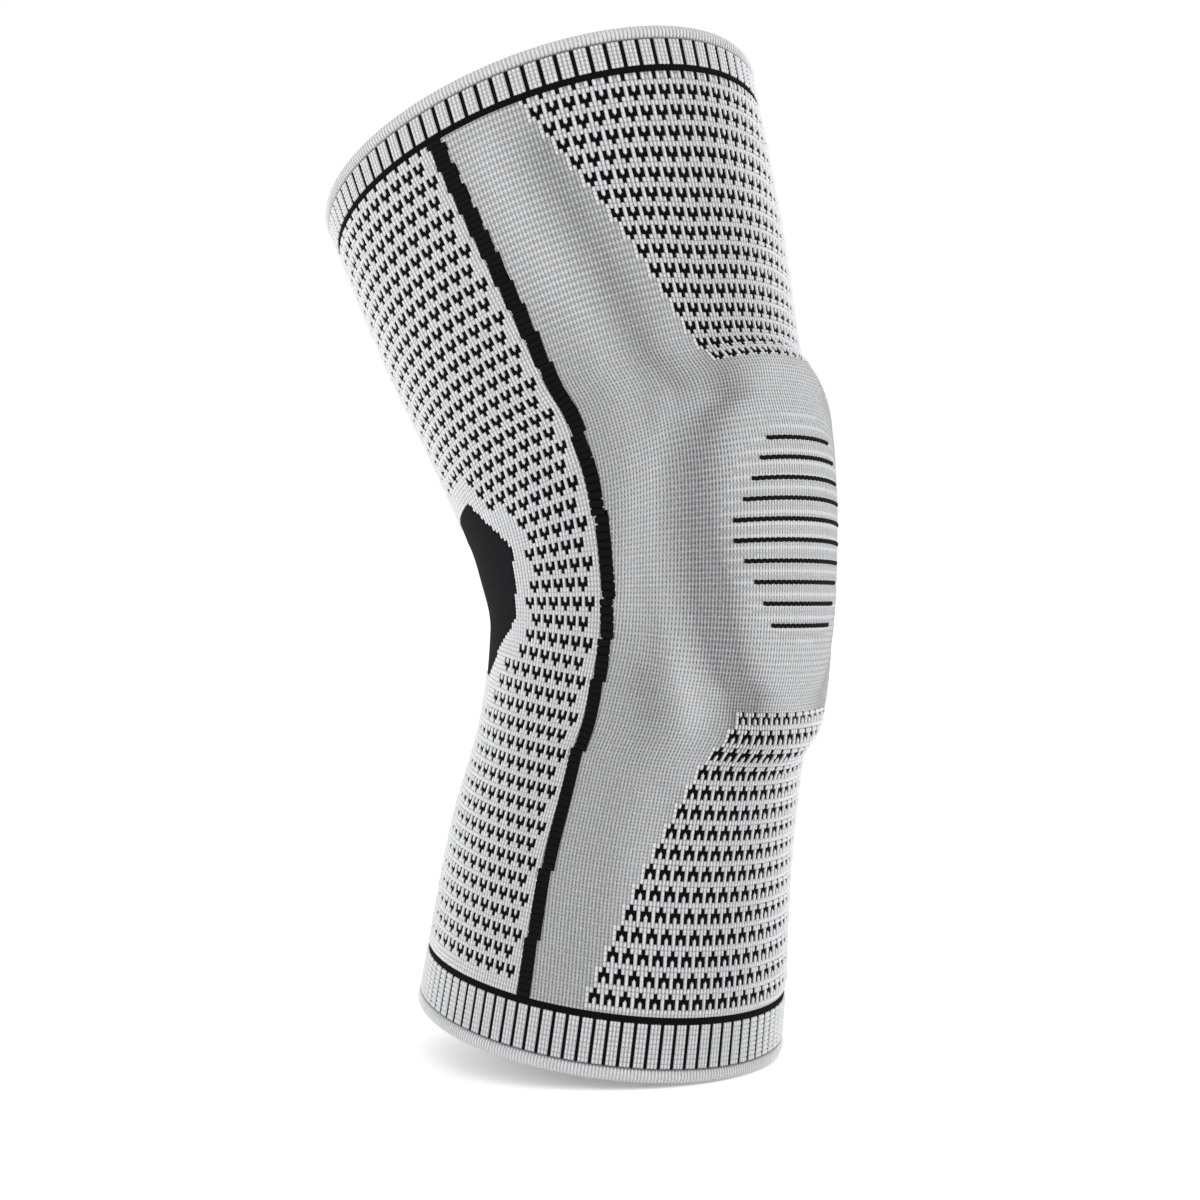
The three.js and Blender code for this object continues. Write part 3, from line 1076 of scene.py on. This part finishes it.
def cloth_material(name, dark, light):
    material, tree, shader = blank(name, 0.95, Specular_IOR_Level=dull)
    course, beside, under = knit_places(tree)
    open_and_shaded = number_of(tree, "open_knit_and_hollow_shade")

    def work(operation, *values):
        return maths(tree, operation, *values)

    # the pinholes between the stitches, wider in the folds' hollows and darker there with painted
    # shade
    across, along = work("POWER", beside, 2.0), work("POWER", work("MULTIPLY", under, 0.8), 2.0)
    radius = work("ADD", work("MULTIPLY", open_and_shaded, hole_opening), hole_size)
    hole = work("DIVIDE", work("SQRT", work("ADD", across, along)), radius)
    hole = falling(tree, hole, 0.3, 1.4)
    depth = work("ADD", work("MULTIPLY", open_and_shaded, hollow_shade_on_holes), hole_shade)
    dark_hole = work("MULTIPLY", hole, work("MULTIPLY", fuzz(tree, 1500.0, 1.0), depth))

    # the ridges of every second course, and the bead of each stitch
    groove = falling(tree, from_half(tree, work("MULTIPLY", course, 0.5)), 0.02, 0.16)
    groove = work("MULTIPLY", groove, number_of(tree, "ridged"))
    bead = work("SINE", work("MULTIPLY", beside, math.pi))

    # the yarn's shade: random tone, painted light on each stitch's bead, and painted shade in the
    # grooves
    shade = work("ADD", fuzz(tree, 2400.0, 1.0), work("MULTIPLY", bead, bead_shade))
    # the ease number: painted light and shade of the folds, a lighter kneecap oval and a darker
    # lower side band
    shade = work("ADD", shade, work("MULTIPLY", number_of(tree, "ease"), fold_light_and_tone))
    shade = work("SUBTRACT", shade, work("MULTIPLY", groove, groove_shade))
    shade = add_node(tree, "ShaderNodeClamp", {0: shade}).outputs[0]

    dyed = blend_of(tree, shade, dark, light)
    for factor, colour in (
        (dark_hole, pinhole_colour),
        # painted shade on the ground of the figured fields and the cuffs
        (number_of(tree, "figured"), shadowed_ground_colour),
        (number_of(tree, "black"), black_colour),
    ):
        dyed = blend_of(tree, factor, dyed, colour)
    tree.links.new(dyed, shader.inputs["Base Color"])
    height = work("SUBTRACT", work("SUBTRACT", work("MULTIPLY", bead, 0.5), groove), hole)
    relief(tree, shader, height, 0.00035, 0.9)
    return material


cloth = cloth_material("figured_knit", band_dark, band_light)
lining = cloth_material("knit_lining", (0.2, 0.2, 0.21), (0.5, 0.5, 0.515))

# %% [markdown]
# The yarns of the stitches, the dense black panel, and the satin skin of the pad.


# %% Yarns, panel and pad
def yarn_material(name, colour, roughness=0.9):
    material, tree, shader = blank(name, roughness, Specular_IOR_Level=dull)
    shade = fuzz(tree, 1500.0)
    dyed = blend_of(tree, shade, [c * 0.72 for c in colour], [min(1, c * 1.25) for c in colour])
    tree.links.new(dyed, shader.inputs["Base Color"])
    relief(tree, shader, fuzz(tree, 4000.0), 0.0001, 0.5)
    return material


light_yarn = yarn_material("light_yarn", light_yarn_colour)
black_yarn = yarn_material("black_yarn", black_colour, 0.85)
rib_yarn = yarn_material("stripe_yarn", (0.003, 0.003, 0.0035), 0.85)

panel_knit, tree, shader = blank("panel_knit", 0.9, Specular_IOR_Level=dull)
_, beside, under = knit_places(tree)
beads = [maths(tree, "SINE", maths(tree, "MULTIPLY", part, math.pi)) for part in (beside, under)]
loops = maths(tree, "MULTIPLY", *beads)
mottle = maths(tree, "MULTIPLY", fuzz(tree, 900.0), 0.3)
# painted light in each loop's middle and painted shade at its edges, with random mottle
shade = maths(tree, "ADD", maths(tree, "MULTIPLY", loops, 0.7), mottle)
dyed = blend_of(tree, shade, (0.0015, 0.0015, 0.002), (0.013, 0.013, 0.0145))
tree.links.new(dyed, shader.inputs["Base Color"])
relief(tree, shader, loops, 0.0002, 0.8)

pad_satin, tree, shader = blank("pad_satin", 0.42, Coat_Weight=0.1, Coat_Roughness=0.4)
dyed = blend_of(tree, fuzz(tree, 60.0), (0.38, 0.39, 0.41), (0.46, 0.47, 0.49))
tree.links.new(dyed, shader.inputs["Base Color"])
relief(tree, shader, fuzz(tree, 1500.0), 0.00005, 0.4)

for piece in (front_cloth, back_cloth):
    piece.data.materials.append(cloth)
    piece.data.materials.append(lining)
panel.data.materials.append(panel_knit)
panel.data.materials.append(lining)
gel_ring.data.materials.append(pad_satin)

# %% [markdown]
# ## Raised light stitches
#
# Every light cell of a figured field gets one stitch. The back has so many that it is split at
# the knee into two pieces.

# %% Light stitches
stitch_rise = 0.0005
held_taller, held_prouder = 1.45, 1.25  # a stitch held between two prongs
unevenness = 0.06
hand = np.random.default_rng(7)


def stitches_in(cells, black, outer_s, outer_share, wide=1.22, tall=1.42):
    """Places for stitches in the chosen cells of a grid. wide, tall: shares of a cell's size."""
    s = (outer_s[:-1, :-1] + outer_s[1:, 1:] + outer_s[:-1, 1:] + outer_s[1:, :-1]) / 4
    share = centres(outer_share)
    width = (outer_share[:-1, 1:] - outer_share[:-1, :-1])[cells]
    height = (outer_s[1:, :-1] - outer_s[:-1, :-1])[cells]
    held = (np.roll(black, 1, axis=1) & np.roll(black, -1, axis=1))[cells]
    s, share = s[cells], share[cells]
    here, across, up, outward = frame_at(s, wrapped_share(share))
    uneven = 1 + hand.uniform(-unevenness, unevenness, (3, len(s)))
    lean = hand.uniform(-unevenness, unevenness, len(s))[:, None]
    size = sizes_of(
        len(s),
        width * girth_at(s) * wide * uneven[0],
        height * tall * np.where(held, held_taller, 1) * uneven[1],
        stitch_rise * np.where(held, held_prouder, 1) * uneven[2],
    )
    return here, across + lean * up, outward, size


light_back = (back_numbers["figured"] > 0) & ~black_back & ~in_panel
above_knee = centre_back_s > 0
thigh_back_stitches = lay_stitches(
    "thigh_back_stitches", dome_stitch, light_yarn,
    stitches_in(light_back & above_knee, black_back, back_grid_s, back_shares),
)
calf_back_stitches = lay_stitches(
    "calf_back_stitches", dome_stitch, light_yarn,
    stitches_in(light_back & ~above_knee, black_back, back_grid_s, back_shares),
)
front_stitches = lay_stitches(
    "front_stitches", dome_stitch, light_yarn,
    stitches_in((front_numbers["figured"] > 0) & ~black_front, black_front, front_s, front_shares,
                wide=1.12, tall=1.36),
)

# %% [markdown]
# ## The side stripes
#
# A black stripe runs down each side: short ribs, one above the other, each four wales wide. Every
# so often the stripe steps one wale sideways, as the knit narrows.

# %% Side stripes
stripe_pitch = 0.0019
rib_wide, rib_high = 1.04, 1.12  # as shares of the stripe's width and of the pitch
rib_rise = 0.00055
stripe_count = int((body_span[1] - body_span[0]) / stripe_pitch)
rib_step = (body_span[1] - body_span[0]) / stripe_count
rib_s = body_span[0] + (np.arange(stripe_count) + 0.5) * rib_step
rib_width = rib_wide * stripe_wales / share_unit * girth_at(rib_s)
rib_size = sizes_of(stripe_count, rib_width, stripe_pitch * rib_high, rib_rise)
rib_places = joined(
    [standing(rib_s, side * stepped_stripe(rib_s), rib_size) for side in (-1, 1)]
)
side_stripes = lay_stitches("side_stripes", rib_bar, rib_yarn, rib_places)

# %% [markdown]
# ## The lines across the kneecap
#
# Ten black lines cross the kneecap, one course high. They are longest in the middle and shorter
# by even steps above and below it, and the gaps between them grow a little downwards. Each is a
# row of stitches, and every second stitch sits a little higher, which gives the line its saw
# edge.

# %% Kneecap lines
line_count = 10
top_line = 0.565  # place of the uppermost line, as up
line_gap, gap_growth = 0.0116, 0.00024  # from line to line, and how much each gap grows
longest_turn, turn_step = 29.0, 3.15  # half a line's turn, in degrees, and how fast it falls
line_pitch = 1.05 / share_unit  # from stitch to stitch, as a share of the girth
line_wide, line_height, line_rise = 1.25, 0.0013, 0.0003
saw = 0.00005  # how much higher or lower a stitch sits
quarter = np.linspace(0, 0.25, 400)


def kneecap_line(k):
    """Places for the stitches of line k, counted from the top."""
    s = float(s_of(top_line - line_gap * k - gap_growth * k * (k - 1) / 2))
    turn = longest_turn - turn_step * abs(k - (line_count - 1) / 2)
    reach = np.interp(math.radians(turn), angle_at(np.full(len(quarter), s), quarter), quarter)
    count = int(reach / line_pitch)
    share = np.arange(-count, count + 1) * line_pitch
    high = s + np.where(np.arange(len(share)) % 2 == 0, saw, -saw)
    size = sizes_of(len(share), line_pitch * girth_at(s) * line_wide, line_height, line_rise)
    return standing(high, share, size)


line_places = joined([kneecap_line(k) for k in range(line_count)])
knee_lines = lay_stitches("kneecap_lines", rib_bar, black_yarn, line_places)

# %% [markdown]
# ## Cuffs
#
# Above and below the figured cloth is an elastic cuff, knitted in black and light stripes: one
# black wale in four. The light part of each stripe is a ladder of soft bumps. A black line closes
# the cuff on the side of the cloth.

# %% Cuffs
cuff_wales = 352
cuff_repeat = 4  # wales from one black stripe to the next
ring_line = 0.0022
ladder_wide, ladder_middle, ladder_high = 1.14, 1.3, 1.45  # as shares of a wale and of the pitch
ladder_rise = 0.00055
ring_share = (np.arange(cuff_wales) - cuff_wales / 2) / cuff_wales


def make_cuff(name, span, bumps, dark_side):
    """A cuff with its ladder. dark_side: -1 where the black line is at the foot, 1 at the top."""
    line_from = span[1] - ring_line if dark_side > 0 else span[0]
    line_to = span[1] if dark_side > 0 else span[0] + ring_line
    rest = (span[0], line_from) if dark_side > 0 else (line_to, span[1])
    steps = [np.linspace(line_from, line_to, 3), np.linspace(rest[0], rest[1], bumps + 1)]
    levels = np.unique(np.round(np.concatenate(steps), 9))
    cells = (len(levels) - 1, cuff_wales)
    grid_s, grid_share = np.broadcast_arrays(levels[:, None], ring_share[None, :])
    uv = paired(grid_share * cuff_wales, grid_s / plain_course)
    middle_s = (levels[:-1] + levels[1:])[:, None] / 2
    column = np.arange(cuff_wales)
    in_line = (middle_s > line_from) & (middle_s < line_to)
    numbers = {key: np.zeros(cells) for key in ("open_knit_and_hollow_shade", "ridged", "ease")}
    numbers["black"] = ((column % cuff_repeat == 0) | in_line).astype(float)
    # the whole cuff takes the ground's painted shade between its bumps
    numbers["figured"] = np.ones(cells)
    outer, inner = cloth_at(grid_s, grid_share), cloth_at(grid_s, grid_share, fabric_wall)
    cuff = shell(name, outer, inner, np.ones(cells, bool), uv, numbers, wrap=True)
    cuff.data.materials.append(cloth)
    cuff.data.materials.append(lining)
    pitch = (rest[1] - rest[0]) / bumps
    bump_s = rest[0] + (np.arange(bumps) + 0.5) * pitch
    light = column[column % cuff_repeat != 0]
    s = np.repeat(bump_s, len(light))
    share = np.tile(ring_share[light] + 0.5 / cuff_wales, bumps)
    in_middle = np.tile(light % cuff_repeat == 2, bumps)
    wide = girth_at(s) / cuff_wales * np.where(in_middle, ladder_middle, ladder_wide)
    size = sizes_of(len(s), wide, pitch * ladder_high, ladder_rise)
    ladder = lay_stitches(name + "_ladder", dome_stitch, light_yarn, standing(s, share, size))
    return cuff, ladder


thigh_cuff, thigh_ladder = make_cuff("thigh_cuff_knit", thigh_cuff_span, 6, -1)
calf_cuff, calf_ladder = make_cuff("calf_cuff_knit", calf_cuff_span, 9, 1)

# %% [markdown]
# ## Hems
#
# Each end is rolled over into a soft cord of cloth, covered in short upright stitches, with a
# dotted seam where it meets the cuff. The roll is a rounded bar swept round the leg, and the
# stitches are small bent bars laid over its outer half.


# %% The hem's stitch
def arc_mesh(name, reach_turn=1.75, steps=8, edge=0.97, swelling=0.22):
    """A thin bar bent over a half roll: 1 wide, 1 high, 1 deep. edge: how high its long edges lie.
    swelling: how far its back stands out in the middle."""
    points, faces = [], []
    for i in range(steps + 1):
        turn = -reach_turn + 2 * reach_turn * i / steps
        y, z = 0.5 * math.sin(turn), math.cos(turn)
        lift = 1.0 + swelling * math.cos(turn * math.pi / 2 / reach_turn)
        points += [(x, y * k, z * k) for x, k in ((-0.5, edge), (0, lift), (0.5, edge))]
    for i in range(steps):
        a = i * 3
        faces += [(a, a + 1, a + 4, a + 3), (a + 1, a + 2, a + 5, a + 4)]
        faces.append((a, a + 3, a + 5, a + 2))
    faces += [(0, 2, 1), (steps * 3, steps * 3 + 1, steps * 3 + 2)]
    return small_mesh(name, points, faces)


hem_arc = arc_mesh("hem_arc")

# %% Hems
hem_sides, hem_columns = 16, 176
hem_fill = 0.98  # height of the roll and its stitches, as a share of the hem's
hem_wide = 0.97  # width of a stitch, as a share of a wale
seam_inset, seam_depth = 0.00015, 0.0002
seam_wide, seam_high, seam_rise = 0.75, 0.0007, 0.0006


def make_hem(name, span, cuff_side):
    """A rolled hem with its stitches and its seam. cuff_side: -1 where the cuff is under it."""
    middle = (span[0] + span[1]) / 2
    turns = np.arange(hem_sides) * 2 * math.pi / hem_sides
    profile_s = middle - hem_height / 2 * np.cos(turns) * hem_fill
    profile_depth = fabric_wall / 2 - hem_thickness / 2 * np.sin(turns)
    share = (np.arange(hem_columns) - hem_columns / 2) / hem_columns
    roll = ring_of(name, cloth_at(profile_s[:, None], share[None, :], profile_depth[:, None]))
    roll.data.materials.append(hem_ground)
    wide = girth_at(middle) / cuff_wales * hem_wide
    size = sizes_of(cuff_wales, wide, hem_height * hem_fill, hem_thickness / 2)
    places = standing(np.full(cuff_wales, middle), ring_share, size, fabric_wall / 2)
    upright = lay_stitches(name + "_stitches", hem_arc, hem_yarn, places)
    seam_s = span[0] + seam_inset if cuff_side < 0 else span[1] - seam_inset
    wide = girth_at(seam_s) / cuff_wales * seam_wide
    size = sizes_of(cuff_wales, wide, seam_high, seam_rise)
    places = standing(np.full(cuff_wales, seam_s), ring_share, size, seam_depth)
    seam = lay_stitches(name + "_seam", dome_stitch, seam_yarn, places)
    return roll, upright, seam


hem_yarn = yarn_material("hem_yarn", (0.54, 0.542, 0.55))
hem_ground = yarn_material("hem_ground", (0.4, 0.402, 0.406))
seam_yarn = yarn_material("seam_yarn", (0.3, 0.3, 0.31))
thigh_hem, thigh_hem_stitches, thigh_seam = make_hem("thigh_hem_roll", thigh_hem_span, -1)
calf_hem, calf_hem_stitches, calf_seam = make_hem("calf_hem_roll", calf_hem_span, 1)

# %% [markdown]
# ## Tying the pieces to the frame
#
# Each piece rides on the sleeve's one body, and the solid that it stands for is hidden. The knit is
# stretched cloth, so the script also prints how wide its pieces would be before they are stretched
# over a leg.

# %% Ride and replace
ties = [
    ("sleeve_body", "body_knit", [front_cloth, back_cloth, front_stitches]),
    ("sleeve_body", "body_knit", [thigh_back_stitches, calf_back_stitches]),
    ("sleeve_body", "panel_knit", [side_stripes, knee_lines]),
    ("popliteal_panel", "panel_knit", [panel]),
    ("thigh_cuff", "cuff_knit", [thigh_cuff, thigh_ladder]),
    ("calf_cuff", "cuff_knit", [calf_cuff, calf_ladder]),
    ("thigh_hem", "hem_knit", [thigh_hem, thigh_hem_stitches, thigh_seam]),
    ("calf_hem", "hem_knit", [calf_hem, calf_hem_stitches, calf_seam]),
    ("patella_pad", "pad_gel", [gel_ring]),
]
for node, finish, pieces in ties:
    for piece in pieces:
        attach(piece, "root")
        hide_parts(node)


def layer_area(piece):
    """Half the surface of a closed shell: one layer of cloth."""
    return sum(p.area for p in piece.data.polygons) / 2


relaxed = 0.87  # width before it is stretched over a leg, as a share
body_length, panel_length = 0.255, 0.068
for piece, length, carried in (
    (front_cloth, body_length, [front_stitches, knee_lines, side_stripes]),
    (back_cloth, body_length, [thigh_back_stitches, calf_back_stitches]),
    (panel, panel_length, []),
):
    area = layer_area(piece)
    width = round(area * relaxed / length, 3)
    print(piece.name, "one layer", round(area, 4), "m2, relaxed width", width)
for piece, span, carried in (
    (thigh_cuff, thigh_cuff_span, [thigh_ladder, thigh_hem, thigh_hem_stitches, thigh_seam]),
    (calf_cuff, calf_cuff_span, [calf_ladder, calf_hem, calf_hem_stitches, calf_seam]),
):
    width = round(float(girth_at(sum(span) / 2)) * relaxed, 3)
    length = round(span[1] - span[0], 4)
    print(piece.name, "relaxed width", width)

# %% [markdown]
# ## Floor, light and camera
#
# The sleeve stands on a large pale floor in a bright studio. Two soft lights, one on each side of
# the camera and a little above it, give the shape. The white surroundings fill the shadows.

# %% Floor and light
floor_height = -0.15245
floor_mesh = bpy.data.meshes.new("floor")
floor_reach = 60.0
floor_corners = [(x * floor_reach, y * floor_reach, floor_height)
                 for x, y in ((-1, -1), (1, -1), (1, 1), (-1, 1))]
floor_mesh.from_pydata(floor_corners, [], [(0, 1, 2, 3)])
floor = add_object("floor", floor_mesh)
white = (1, 1, 1, 1)
floor_paint, _, _ = blank(
    "floor_paint",
    0.35,
    Base_Color=white,
    Specular_IOR_Level=0.3,
    Emission_Color=white,
    Emission_Strength=0.2,
)
floor_mesh.materials.append(floor_paint)

world = bpy.data.worlds.new("studio")
bpy.context.scene.world = world
world.use_nodes = True
background = world.node_tree.nodes["Background"].inputs
background["Color"].default_value = white
background["Strength"].default_value = 1.0


def soft_light(name, place, target, size, power):
    lamp = bpy.data.lights.new(name, "AREA")
    lamp.shape, lamp.size, lamp.energy = "DISK", size, power
    light = add_object(name, lamp)
    light.location = place
    aim = Vector(target) - Vector(place)
    light.rotation_euler = aim.to_track_quat("-Z", "Y").to_euler()


soft_light("right_softbox", (0.56, -1.1, 0.35), (0, 0, 0), 0.7, 8.0)
soft_light("left_softbox", (-1.15, 0.55, 0.3), (0, 0, -0.05), 0.8, 7.2)

# %% [markdown]
# The camera stands level with the knee, at the photograph's angle, in front and to the left.

# %% Camera
camera_place = (-0.4931, -0.4083, -0.0094)
camera_aim = (0.7547, 0.6561, 0)
lens = bpy.data.cameras.new("camera")
lens.lens, lens.sensor_width = 61.4, 36
camera = add_object("camera", lens)
camera.location = camera_place
camera.rotation_euler = Vector(camera_aim).to_track_quat("-Z", "Y").to_euler()
bpy.context.scene.camera = camera
bpy.context.scene.view_settings.view_transform = "Standard"
